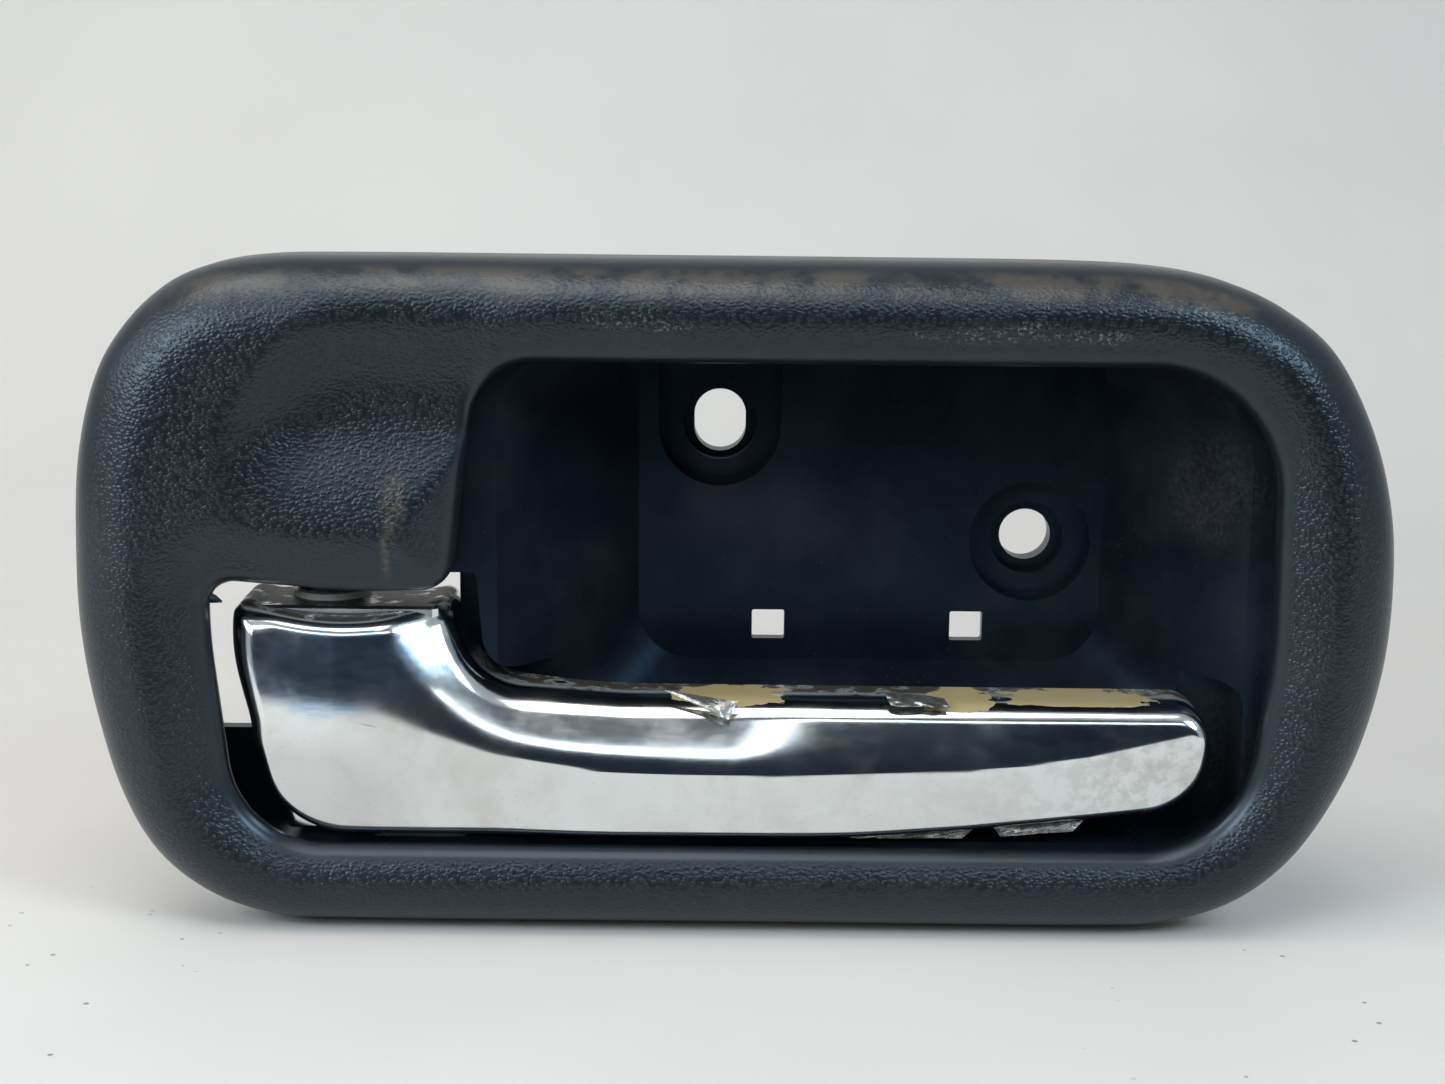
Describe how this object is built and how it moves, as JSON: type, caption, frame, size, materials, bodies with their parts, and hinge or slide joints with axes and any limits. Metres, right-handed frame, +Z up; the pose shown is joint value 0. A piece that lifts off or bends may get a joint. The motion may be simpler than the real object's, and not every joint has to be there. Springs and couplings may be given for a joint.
{
  "type": "car inside door handle",
  "caption": "Inside door handle: domed grained bezel, dark recessed cup with two screw bosses, plated pull lever on an upright pin, crank arm and rod clip.",
  "frame": {"origin": "centre of the bezel's outline, in the plane of its back edge that seats on the door panel", "axes": "+X to the right as the user faces the handle, -Y towards the user, +Y into the door, +Z up"},
  "size_m": [0.1662, 0.049, 0.0854],
  "materials": {
    "grained_bezel": "dark charcoal moulding, fine leather-like grain, satin",
    "cup_plastic": "smooth near-black moulding, semi-gloss",
    "plated_lever": "bright chrome plating on ABS, peeled and scratched in places",
    "pin_steel": "ground steel pin",
    "ring_steel": "phosphated spring steel",
    "spring_steel": "drawn spring wire",
    "bumper_rubber": "matt black rubber",
    "bush_acetal": "natural acetal",
    "clip_acetal": "pale yellow acetal",
    "screw_zinc": "yellow-passivated zinc plate"
  },
  "bodies": {
    "case": {"bezel": "grained_bezel", "cup_housing": "cup_plastic", "housing_screw_upper_left": "screw_zinc", "housing_screw_upper_right": "screw_zinc", "housing_screw_lower_left": "screw_zinc", "housing_screw_lower_right": "screw_zinc", "pivot_pin": "pin_steel", "pin_retaining_ring": "ring_steel", "return_spring": "spring_steel", "rest_bumper": "bumper_rubber", "open_bumper": "bumper_rubber"},
    "lever_body": {"lever": "plated_lever", "upper_bush": "bush_acetal", "lower_bush": "bush_acetal"},
    "clip_body": {"rod_clip": "clip_acetal"}
  },
  "joints": [
    {"name": "lever_swing", "type": "hinge", "parent": "case", "child": "lever_body", "pos_m": [-0.052, 0.002, 0], "axis": [0, 0, -1], "range_deg": [0, 32], "stiffness_Nm_per_rad": 0.25, "springref_deg": -34.38, "deforming": ["return_spring"]},
    {"name": "rod_clip_swivel", "type": "hinge", "parent": "lever_body", "child": "clip_body", "pos_m": [-0.052, 0.03, 0], "axis": [0, 0, 1], "range_deg": [-35, 35]}
  ]
}
